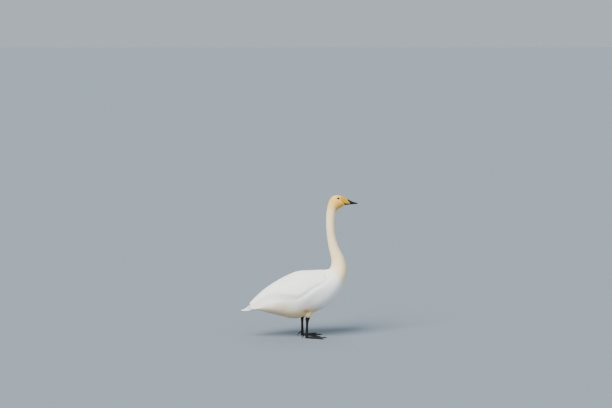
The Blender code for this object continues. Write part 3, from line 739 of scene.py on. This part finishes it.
for side in ("left", "right"):
    centre, out, long, short = eye_frame(side)
    turn = full_turn(64)
    polar = np.linspace(0.02, math.pi / 2, 30)
    plain = np.cos(turn)[:, None] * long + np.sin(turn)[:, None] * short
    bulge_out = 1 + 0.05 * np.cos(polar) ** 8
    globe = (centre + EYE_RADIUS * (np.sin(polar)[:, None, None] * plain
                                    + (np.cos(polar) * bulge_out)[:, None, None] * out))
    eye = new_piece(f"eye_{side}_form", grid_mesh(f"eye_{side}", globe), eye_finish)
    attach(eye, "root")
    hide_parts(f"eye_{side}")
    profile = spline(range(len(LID)), LID)(np.linspace(0, len(LID) - 1, 30))
    opening = LID_OPEN * np.hypot(EYE_OVAL[0] * np.cos(turn), EYE_OVAL[1] * np.sin(turn))
    from_axis = np.minimum(opening + profile[:, :1], LID_REACH)
    rim = (centre + from_axis[..., None] * plain
           + (np.sqrt(EYE_RADIUS**2 - from_axis**2) + profile[:, 1:])[..., None] * out)
    inner = rim[::-1] - out * 0.0005
    lids = new_piece(f"lids_{side}", grid_mesh(
        f"lids_{side}", np.concatenate([rim, inner, rim[:1]])), lid_finish)
    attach(lids, "root")

# ---------------------------------------------------------------- Claws
# Blunt black nails, bent down to the ground, one on each toe and one on the small hind toe.
CLAW_LENGTH, CLAW_RADIUS, CLAW_HEIGHT = 0.0145, 0.0034, 0.0046
CLAW_IN_TOE, OFF_FLOOR = 0.001, 0.0001  # how deep a claw starts, and how near it comes to the floor
CLAW = [  # share of the length, fall, share of the radius
    (0, 0, 1.0), (0.35, 0.0005, 0.86), (0.75, 0.0019, 0.55), (0.97, 0.0031, 0.24),
    (1.03, 0.0034, 0.05),
]
HALLUX_CLAW = [  # distance behind the heel, height, radius
    (0.0275, 0.0103, 0.0025), (0.0279, 0.0099, 0.0027), (0.0322, 0.0047, 0.0020),
    (0.0352, 0.0014, 0.0010), (0.0357, 0.0008, 0.0004),
]
claw_finish = material("claw_horn", 0.38, Base_Color=(0.016, 0.015, 0.014, 1))[0]
for side in LEGS:
    claws = {"hallux": hind_path(HALLUX_CLAW)}
    for name, (direction, length, *_) in TOES.items():
        angle = math.radians(direction)
        way = np.array([math.cos(angle), math.sin(angle)])
        path = [(*(length - CLAW_IN_TOE + CLAW_LENGTH * part) * way, CLAW_HEIGHT - fall)
                for part, fall, _ in CLAW]
        claws[name] = path, CLAW_RADIUS * np.array([share for *_, share in CLAW])
    for name, (path, radii) in claws.items():
        grid = put_foot(tube_grid(path, radii, 24, 26), side)
        grid[..., 2] = np.maximum(grid[..., 2], OFF_FLOOR)
        claw = new_piece(f"claw_{side}_{name}_form", grid_mesh("claw", grid), claw_finish)
        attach(claw, "root")
        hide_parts(f"claw_{side}_{name}")


# ---------------------------------------------------------------- Coat of the head
# Short, sleek feathers from the bill's root back to the throat, smallest on the face. The bare
# yellow lores run back in a wedge to the eye.

# The columns of a table after its points: steps to the next row and side, normal, coat's depth.
COAT_AHEAD, COAT_BESIDE, COAT_OUT, COAT_DEPTH = slice(3, 6), slice(6, 9), slice(9, 12), 12
BAKE_PATCH = 0.003  # size of a feather's own patch in the map OFBake
VANE_SCALE = 100.0  # the map vane holds places on a feather in centimetres
HEAD_LINES = 140  # lines of feathers round the head
HEAD_LENGTH, HEAD_WIDTH = (0.0050, 0.0045), (0.0020, 0.0010)  # on the face, more at the throat
random = np.random.default_rng(41)
EYE_CLEAR, LORES_LAP = 0.0077, 0.0004  # how near the eye feathers grow, and how far on the lores
SHORT_WITHIN = 0.005  # how far ahead of the eye they are short


def with_depth(table, depth):
    """The table with the depth of the coat as its last column."""
    return np.concatenate([table, np.broadcast_to(depth, table.shape[:2])[..., None]], axis=-1)


def read_table(table, i, j):
    """The table between its rows and sides. j closes on itself. Past an end it runs straight on."""
    last, around = table.shape[0] - 1, table.shape[1]
    inside = np.clip(i, 0, last - 1e-6)
    i0, j0 = inside.astype(int), np.floor(j).astype(int)
    a, b = (inside - i0)[..., None], (j - j0)[..., None]
    j0, j1 = j0 % around, (j0 + 1) % around
    value = ((1 - a) * ((1 - b) * table[i0, j0] + b * table[i0, j1])
             + a * ((1 - b) * table[i0 + 1, j0] + b * table[i0 + 1, j1]))
    value[..., :3] += value[..., COAT_AHEAD] * (i - inside)[..., None]
    return value


def steps_for(at, way):
    """How far i and j go for a step of the vector way, by least squares on the table's steps."""
    ahead, beside = at[..., COAT_AHEAD], at[..., COAT_BESIDE]
    aa, bb = (ahead**2).sum(-1), (beside**2).sum(-1)
    ab = (ahead * beside).sum(-1)
    wa, wb = (way * ahead).sum(-1), (way * beside).sum(-1)
    scale = np.maximum(aa * bb - ab**2, 1e-3 * aa * bb + 1e-18)
    return (wa * bb - wb * ab) / scale, (wb * aa - wa * ab) / scale


def march(table, i, j, length, lie, form):
    """Lines over the surface from each root towards the tail, turned by the angle lie: on the
    bird's right a positive angle turns them down. Points lie where the form has its rows."""
    line = [(i, j)]
    for step in np.diff(form[0]):
        at = read_table(table, i, j)
        back = -unit(at[..., COAT_AHEAD])
        side = np.cross(at[..., COAT_OUT], back)
        way = np.cos(lie)[..., None] * back + np.sin(lie)[..., None] * side
        di, dj = steps_for(at, way * (length * step)[..., None])
        i, j = i + di, j + dj
        line.append((i, j))
    return np.stack([p[0] for p in line], 1), np.stack([p[1] for p in line], 1)


def feather_form(rows, gather, tip, foot=0.45, point=1.0):
    """Where a feather's rows lie along it, closer together beyond gather, and its half width there
    against the widest: an even rise from the foot up to tip, then a quarter ellipse."""
    before = np.linspace(0, gather, rows // 2 + 1)
    after = gather + (1 - gather) * np.sin(np.linspace(0, math.pi / 2, rows - rows // 2 + 1)[1:])
    shares = np.concatenate([before, after])
    rise = foot + (1 - foot) * smooth_step(shares / tip)
    fall = np.sqrt(np.clip(1 - (np.clip(shares - tip, 0, None) / (1 - tip)) ** 2, 0, 1)) ** point
    return shares, np.maximum(rise * fall, 0.07)


def feathers(name, table, line_i, line_j, length, width, form, cells=4, base=0.0, foot=0.6,
             bend=2.2, droop=0.0, camber=0.05, thick=0.0003):
    """Thin closed vanes, each draped on the table along its line. Its middle line starts base
    higher, rises from foot to the full depth of the coat by 1-(1-a)^bend and droops again over the
    tip's last third, and its edges curl down by camber of its width."""
    (count, rows), (shares, outline) = line_i.shape, form
    at = read_table(table, line_i, line_j)
    ahead = unit(np.gradient(at[..., :3], axis=1))
    si, sj = steps_for(at, np.cross(at[..., COAT_OUT], ahead))
    b = np.linspace(-1, 1, cells + 1)
    half = width[:, None] / 2 * outline
    reach = half[..., None] * b
    over = read_table(table, line_i[..., None] + si[..., None] * reach,
                      line_j[..., None] + sj[..., None] * reach)
    rise = foot + (1 - foot) * (1 - (1 - shares) ** bend)
    rise = rise - droop * np.clip((shares - 0.68) / 0.32, 0, 1) ** 2
    tilt = random.uniform(-0.02, 0.02, (count, 1, 1)) * half[..., None] * b
    height = over[..., COAT_DEPTH] * rise[:, None] + np.reshape(base, (-1, 1, 1))
    height = height - camber * half[..., None] * b**2 + tilt
    height = np.maximum(height, COAT_LEAST + thick * 0.5)
    top = over[..., :3] + over[..., COAT_OUT] * height[..., None]
    middle = cells // 2
    under = top[:, :, middle] - over[:, :, middle, COAT_OUT] * thick
    points = np.concatenate([top, under[:, :, None]], axis=2)
    round_it = cells + 2
    a = (np.arange(count)[:, None, None] * rows + np.arange(rows)[:, None]) * round_it
    a = a + np.arange(round_it)
    nexts = np.roll(a, -1, axis=2)
    walls = np.stack([a[:, :-1], a[:, 1:], nexts[:, 1:], nexts[:, :-1]], axis=-1).reshape(-1, 4)
    caps = []
    for k in range(0, cells, 2):
        for end, flip in ((0, 1), (-1, -1)):
            cap = np.stack([a[:, end, -1], *(a[:, end, k + n] for n in range(3))], axis=-1)
            caps.append(cap[:, ::flip])
    faces = np.concatenate([walls, *caps])
    mesh = bpy.data.meshes.new(name)
    mesh.from_pydata(points.reshape(-1, 3), [], faces)
    b_all = np.append(b, 0.0)
    root = columns(line_j[:, 0] / table.shape[1] % 1, line_i[:, 0] / table.shape[0])
    patch = columns(b_all / 2, shares[:, None]) * BAKE_PATCH
    bake = (root[:, None, None] + patch).reshape(-1, 2)
    vane = columns(half[..., None] * b_all, (length[:, None] * shares)[..., None])
    for label, values in (("OFBake", bake), ("vane", vane.reshape(-1, 2) * VANE_SCALE)):
        layer = mesh.uv_layers.new(name=label)
        layer.data.foreach_set("uv", values[faces].astype(np.float32).ravel())
    tone = mesh.attributes.new("tone", "FLOAT", "POINT")
    tone.data.foreach_set("value", np.repeat(
        random.random(count), rows * round_it).astype(np.float32))
    return smooth(mesh, 60)


def gap_at(i, first, less, start, end):
    """The gap between rows of feathers: first at the table's row start, less by so much at end."""
    return first - less * between(i, start, end)


def spread_roots(table, first, last, lines, gap):
    """Roots in staggered rows from one row of the table to another, as far apart as the gap there,
    with this many lines of feathers round it."""
    rows, i = [], float(first)
    step = np.linalg.norm(table[..., COAT_AHEAD], axis=-1).mean(axis=1)
    while i < last:
        rows.append(i)
        i += max(gap_at(i, *gap) / max(step[min(int(i), len(step) - 1)], 1e-5), 0.05)
    rows = np.array(rows)[::-1]
    i = np.repeat(rows[:, None], lines, axis=1)
    j = (np.arange(lines) + 0.5 * (np.arange(len(rows)) % 2)[:, None]) / lines
    i = i + random.uniform(-0.22, 0.22, i.shape) * np.abs(np.gradient(rows))[:, None]
    j = j + random.uniform(-0.16, 0.16, i.shape) / lines
    return i.ravel(), j.ravel() * table.shape[1]


def feather_finish(name, variety):
    """The plumage colour with its stains, painted bounce light and painted shade, a little greyer
    on some feathers than on others.
    """
    finish, tree, shader = material(name, 0.75, Specular_IOR_Level=0.18, Sheen_Weight=0.08,
                                    Sheen_Roughness=0.5)
    stain_and_light_color = put(tree, "ShaderNodeGroup", node_tree=stain_and_painted_light).outputs[0]
    tone = put(tree, "ShaderNodeAttribute", attribute_name="tone").outputs["Fac"]
    greyer = blend_color(tree, 0.5, stain_and_light_color, GREY)
    tree.links.new(blend_color(tree, times(tree, tone, variety), stain_and_light_color, greyer),
                   shader["Base Color"])
    return finish, tree, shader


velvet = feather_finish("velvet", 0.15)[0]
plumage, tree, shader = feather_finish("plumage", 0.28)
vane_uv = put(tree, "ShaderNodeUVMap", uv_map="vane").outputs[0]
across, down, _ = put(tree, "ShaderNodeSeparateXYZ", vane_uv).outputs
off_shaft = calc(tree, "ABSOLUTE", across)
slant = calc(tree, "MULTIPLY_ADD", off_shaft, -1.1, down)
barbs = calc(tree, "SINE", times(tree, slant, 52.0))
shaft = ramp(tree, off_shaft, 0.07, 0.02)
raise_surface(tree, shader, calc(tree, "MULTIPLY_ADD", barbs, 0.25, shaft), 0.3, 0.0003)


def coat(name, table, line, length, width, form, slot, **how):
    """Feathers along these lines as one piece of the coat, its finish from that slot."""
    mesh = feathers(name, table, *line, length, width, form, **how)
    piece = new_piece(name, mesh, velvet if slot in ("plumage_buff", "plumage_cream") else plumage)
    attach(piece, "root")


def vary(values, share):
    """Each value made up to that share longer or shorter, evenly at random."""
    return values * random.uniform(1 - share, 1 + share, len(values))


def degrees_from_back(j):
    """How far round the body a column of its table lies, from 0 at the back to 180 at the belly."""
    return np.abs((j * 360 / SIDES + 180) % 360 - 180)


def pitch_of(table, i, j, lines):
    """Distance between neighbours with that many lines of feathers round the body."""
    return np.linalg.norm(read_table(table, i, j)[:, COAT_BESIDE], axis=1) * SIDES / lines


under_coat = with_depth(under_table, coat_depth)
upper_coat = with_depth(upper_table, upper_depth)
wing_coat = with_depth(with_steps(skin_points), coat_depth + (upper_depth - coat_depth) * edge)
head_first, head_last = row_of("throat", 0.35, "nape"), ROWS - 1.0
head_gap = (0.0021, 0.0006, head_first, head_last)
i, j = spread_roots(under_coat, head_first, head_last + 6, HEAD_LINES, head_gap)
at = read_table(under_coat, i, j)
eye_off = np.hypot((at[:, 0] - EYE_AT[0] - 0.0005) / EYE_OVAL[0],
                   (at[:, 2] - EYE_AT[1]) / EYE_OVAL[1])
off_lores = ahead_of_lores(at[:, 0], at[:, 2]) < LORES_LAP
keep = off_lores & (eye_off > EYE_CLEAR) & (i < head_last + 1)
keep &= random.random(i.size) < 0.08 + (i - head_first) / 16  # they thin out into the neck's
i, j, at, eye_off = i[keep], j[keep], at[keep], eye_off[keep]
share = between(i, head_last, head_first)
length = vary(HEAD_LENGTH[0] + HEAD_LENGTH[1] * share, 0.10)
width = vary(HEAD_WIDTH[0] + HEAD_WIDTH[1] * share, 0.12)
# Feathers just ahead of the eye are short.
beyond = np.clip((eye_off - EYE_CLEAR) / SHORT_WITHIN, 0, 1)
ahead_of_eye = (at[:, 0] > EYE_AT[0]) & (np.abs(at[:, 2] - EYE_AT[1]) < 2 * SHORT_WITHIN)
length = np.where(ahead_of_eye, length * (0.30 + 0.70 * beyond), length)
lie = random.normal(0, 0.10, i.size)
tuft = feather_form(3, 0.62, 0.5, 0.5, 1.6)
crown = i > row_of("nape", 0.45, "cheek")
for name, part in (("face", crown), ("nape", ~crown)):
    line = march(under_coat, i[part], j[part], length[part], lie[part], tuft)
    coat(f"coat_{name}", under_coat, line, length[part], width[part], tuft, "plumage_buff",
         cells=2, base=0.0002, camber=0.03, foot=0.55, bend=2.0, droop=0.05, thick=0.00015)

# ---------------------------------------------------------------- Coat of the neck
# Dense, short, soft feathers, so even that the neck reads as velvet, longer towards its foot.
neck_first, neck_split = row_of("shoulder"), row_of("middle neck")
neck_lower_end = row_of("neck root", 0.6, "low neck")
neck_gap = (0.0048, 0.0010, neck_first, neck_split)
NECK_LINES, NECK_WIDE = 96, 1.9  # lines round the neck, and a feather's width against their pitch
NECK_LENGTH = (0.0150, 0.0080)  # on the upper neck, more at its foot
for name, first, last in (("upper", neck_split + 50, head_first + 14),
                          ("middle", neck_lower_end, neck_split + 52),
                          ("lower", neck_first, neck_lower_end + 2)):
    i, j = spread_roots(under_coat, first, last, NECK_LINES, neck_gap)
    length = vary(NECK_LENGTH[0] + NECK_LENGTH[1] * between(i, neck_split, neck_first), 0.14)
    line = march(under_coat, i, j, length, random.normal(0, 0.06, i.size), tuft)
    width = vary(pitch_of(under_coat, i, j, NECK_LINES) * NECK_WIDE, 0.10)
    coat(f"coat_neck_{name}", under_coat, line, length, width, tuft, "plumage_cream",
         cells=2, camber=0.03, droop=0.05, thick=0.0002)

# ---------------------------------------------------------------- Coat of the breast and belly
# Broad, rounded contour feathers that lie like slates from the foot of the neck to the vent. Over
# the flanks they lap up outside the front part of the wing's edge.
BREAST_LINES, BREAST_WIDE = 80, 1.95
CONTOUR_LONG = 3.4  # a contour feather's length against the gap between rows
wing_front_row = wing_front / body_length * (ROWS - 1)
body_gap = (0.0108, 0.0060, row_of("keel"), neck_first)
body_feather = feather_form(5, 0.62, 0.58)
for name, first, last in (("rear", row_of("tail root"), row_of("middle")),
                          ("middle", row_of("middle"), row_of("breast")),
                          ("front", row_of("breast"), neck_first + 6)):
    i, j = spread_roots(under_coat, first, last, BREAST_LINES, body_gap)
    degrees = degrees_from_back(j)
    under_wing = degrees > np.interp(i, row_number, wing_lower[:, 0]) - np.where(
        i > row_of("abdomen"), 14, 8)
    off_loin = (degrees > 105) | (i > row_of("tail root", 0.35, "vent"))
    keep = (under_wing & off_loin) | (i > wing_front_row - 4)
    i, j = i[keep], j[keep]
    length = vary(gap_at(i, *body_gap) * CONTOUR_LONG, 0.12)
    widest = np.interp(i, (row_of("tail root"), row_of("vent", 0.5, "rump")), (0.008, 0.030))
    width = pitch_of(under_coat, i, j, BREAST_LINES) * BREAST_WIDE
    width = vary(np.clip(width, 0.004, widest), 0.08)
    line = march(under_coat, i, j, length, random.normal(0, 0.04, i.size), body_feather)
    coat(f"coat_body_{name}", under_coat, line, length, width, body_feather, "plumage_white",
         camber=0.03, bend=2.4, droop=0.06)

# ---------------------------------------------------------------- Coat of the back and scapulars
# The mantle between the wings, and the scapulars that lap over each wing's upper edge.
BACK_LINES, BACK_WIDE = 64, 1.65  # lines round the whole body, of which the back's are laid
back_first, back_last = row_of("rump", 0.4, "abdomen"), wing_front_row + 6
back_gap = (0.016, 0.009, row_of("middle"), wing_front_row)
i, j = spread_roots(upper_coat, back_first, back_last, BACK_LINES, back_gap)
keep = degrees_from_back(j) < np.interp(i, row_number, wing_upper[:, 0]) + 26
i, j = i[keep], j[keep]
sign = np.where((j % SIDES) < SIDES / 2, 1, -1)
length = vary(gap_at(i, *back_gap) * CONTOUR_LONG, 0.1)
width = pitch_of(upper_coat, i, j, BACK_LINES) * BACK_WIDE
width = vary(np.clip(width, 0.010, 0.034), 0.08)
line = march(upper_coat, i, j, length, random.normal(0, 0.05, i.size) + sign * 0.05, body_feather)
coat("coat_back", upper_coat, line, length, width, body_feather, "plumage_white", foot=0.12,
     bend=2.4, droop=0.06, thick=0.0004, base=0.0006 + 0.0014 * smooth_step((i - i.min()) / 70))

# ---------------------------------------------------------------- Wings
# Rows of rounded feathers cover each folded wing from its bend to its end over the tail's root,
# small in front and larger behind. The last feather of each row lies on the wing's lower edge.
WING_GAP, WING_PITCH = (0.0075, 0.0185), (0.0082, 0.0108)  # at the bend, and what the rump adds
WING_LONG, WING_WIDE = 3.3, 1.75  # a feather's length against the gap, and width against the pitch
wing_feather = feather_form(7, 0.70, 0.70, 0.6)
row_step = body_length / (ROWS - 1)
wing_arc = np.linalg.norm(wing_coat[..., COAT_BESIDE], axis=-1)
wing_arc = (wing_arc * ((from_back >= wing_upper) & (from_back <= wing_lower))).sum(axis=1) / 2
rows, row, number = [], wing_front_row + 2, 0
while row > row_of("tail root", 0.30, "vent"):
    back = between(row, wing_front_row, row_of("rump"))
    gap, pitch = (first + more * back for first, more in (WING_GAP, WING_PITCH))
    count = max(3, round(np.interp(row, row_number, wing_arc) / pitch))
    share = (np.arange(count) + 0.5 * (number % 2)) / count
    share = np.append(share[share < 1 - 0.4 / count], 1.0)
    rows += [(row, across, gap, pitch) for across in share]
    row, number = row - gap / row_step, number + 1
row, across, gap, pitch = np.array(rows).T
for side in ("right", "left"):
    sign = 1 if side == "right" else -1
    i = row + random.uniform(-0.12, 0.12, row.size) * gap / row_step
    aside = random.uniform(-0.1, 0.1, row.size) * pitch / np.interp(i, row_number, wing_arc)
    share = np.clip(across + aside, 0.02, 1)
    upper, lower = (np.interp(i, row_number, line[:, 0]) for line in (wing_upper, wing_lower))
    j = sign * (np.maximum(upper, 0) * (1 - share) + lower * share) / 360 * SIDES
    # The wing's end is rounded: it reaches furthest back next to the middle line.
    past_root = (0.64 - 0.26 * share) * (row_of("tail root") - row_of("tail middle"))
    tip = row_of("tail root") - past_root
    length = np.minimum(vary(gap * WING_LONG, 0.05), (i - tip) * row_step)
    lie = sign * 0.05 * np.clip((i - row_of("rump")) / 120, 0, 1) + random.normal(0, 0.025, i.size)
    line = march(wing_coat, i, j, length, lie, wing_feather)
    width = vary(pitch * WING_WIDE, 0.05)
    coat(f"coat_wing_{side}", wing_coat, line, length, width, wing_feather, "plumage_white",
         foot=0.12, droop=0.04, thick=0.0005, base=0.0008)

# ---------------------------------------------------------------- Tail
# Twenty broad feathers in a short rounded fan, the middle pair on top, and the coverts that cover
# its root above and below.
TAIL_LINE = [(-0.4100, 0.1895), (-0.3955, 0.1932), (-0.3640, 0.2015), (-0.3190, 0.2115),
             (-0.2570, 0.2230), (-0.2200, 0.2300)]
TAIL_WIDTH, COVERT_WIDTH, COVERT_LENGTH = 0.023, 0.018, 0.110
TAIL_ROOT, TAIL_TIP, TAIL_ROUND = -0.255, -0.4045, 0.034  # x, and how far the outer tips fall short
COVERT_ROUND, COVERT_UNEVEN = 0.026, 0.0018
tail_feather = feather_form(10, 0.72, 0.78, 0.7)
tail_x = np.linspace(TAIL_LINE[0][0], TAIL_LINE[-1][0], 120)
tail_y = np.linspace(0.07, -0.07, 96)
tail_z = spline([p[0] for p in TAIL_LINE], [[p[1]] for p in TAIL_LINE])(tail_x)[:, 0]
tail_arch = 0.0035 + 0.0030 * smooth_step((tail_x[:, None] + 0.40) / 0.07)
grid = columns(tail_x[:, None], tail_y, tail_z[:, None] - tail_arch * (tail_y / 0.05) ** 2)
ahead, beside = np.gradient(grid, axis=0), np.gradient(grid, axis=1)
normal = unit(np.cross(ahead, beside))
normal *= np.sign(normal[..., 2:])
fan = with_depth(np.concatenate([grid, ahead, beside, normal], axis=-1), 0.0020)
pair = np.array([k for n in range(9, -1, -1) for k in (n + 0.5, -n - 0.5)]) / 9.5


def fan_line(root_x, tip_x, root_y, tip_y, ease=1.0):
    """A line over the fan from each root to each tip, and its length. With ease over 1 the lines
    spread late."""
    x = root_x + (tip_x - root_x)[:, None] * tail_feather[0]
    y = root_y[:, None] + (tip_y - root_y)[:, None] * tail_feather[0] ** ease
    line_i = (x - tail_x[0]) / (tail_x[-1] - tail_x[0]) * (len(tail_x) - 1)
    line_j = (y - tail_y[0]) / (tail_y[-1] - tail_y[0]) * (len(tail_y) - 1)
    return (line_i, line_j), np.hypot(tip_x - root_x, tip_y - root_y)


line, length = fan_line(
    TAIL_ROOT, TAIL_TIP + TAIL_ROUND * pair**2, 0.016 * pair, 0.0375 * pair, 1.15)
coat("tail_feathers", fan, line, length, np.full(pair.size, TAIL_WIDTH), tail_feather,
     "plumage_white", cells=6, thick=0.0007, foot=0.9, bend=1.5,
     base=0.0030 - 0.0045 * np.abs(pair))
# Thirteen layers of coverts over the tail's root, each shorter and higher than the last and lying
# down at its sides, and three under it, each lower and broader.
layers = [(f"upper_{k}", -0.380 + 0.0060 * k, 0.0062 + 0.0026 * k, 0.036 + 0.0014 * k)
          for k in range(13)]
layers += [(f"lower_{k}", -0.370 + 0.0140 * k, -0.0030 - 0.0015 * k, 0.034 + 0.0060 * k)
           for k in range(3)]
for name, tip, rise, spread in layers:
    layer, up = fan.copy(), max(rise, 0)
    layer[..., 2] += min(rise, 0)
    tip_x = tip + COVERT_ROUND * pair**2
    tip_x = tip_x + random.uniform(-COVERT_UNEVEN, COVERT_UNEVEN, pair.size)
    line, length = fan_line(tip + COVERT_LENGTH, tip_x, 0.6 * spread * pair, spread * pair)
    coat(f"tail_coverts_{name}", layer, line, length, np.full(pair.size, COVERT_WIDTH),
         tail_feather, "plumage_white", thick=0.0005, foot=0.9, bend=1.5,
         droop=1.25 if rise > 0 else 0.0, base=up * (1 - (0.98 - 18 * up) * pair**2))

# ---------------------------------------------------------------- Coat of the thighs
# Short, dense, cream-stained feathers that lie down the thigh and end in a cuff above the heel.
THIGH_LINES, THIGH_GAP, THIGH_TOP = 40, 0.0042, 0.238
THIGH_DEPTH = (0.154, 0.161, 0.190, 0.262), (0.0035, 0.0065, 0.0074, 0.0080)  # at these heights
THIGH_LENGTH = (0.154, 0.172, 0.21), (0.0050, 0.012, 0.018)
THIGH_WIDTH = (0.154, 0.172, 0.21), (0.0040, 0.0062, 0.0080)
for side in LEGS:
    grid = leg_grid(side, 64, 240)
    grid = grid[grid[:, 0, 2] > LEG_TOP - 0.001]
    table = with_depth(with_steps(grid), np.interp(grid[:, 0, 2], *THIGH_DEPTH)[:, None])
    i, j = spread_roots(table, 0.5, len(table) - 6, THIGH_LINES, (THIGH_GAP, 0.0, 0, 1))
    height = read_table(table, i, j)[:, 2]
    i, j, height = (values[height < THIGH_TOP] for values in (i, j, height))
    length = vary(np.interp(height, *THIGH_LENGTH), 0.1)
    width = vary(np.interp(height, *THIGH_WIDTH), 0.1)
    line = march(table, i, j, length, random.normal(0, 0.08, i.size), tuft)
    coat(f"coat_thigh_{side}", table, line, length, width, tuft, "plumage_cream",
         cells=2, camber=0.08, foot=0.2, thick=0.00025)

# ---------------------------------------------------------------- Update
# The view layer is brought up to date.
bpy.context.view_layer.update()
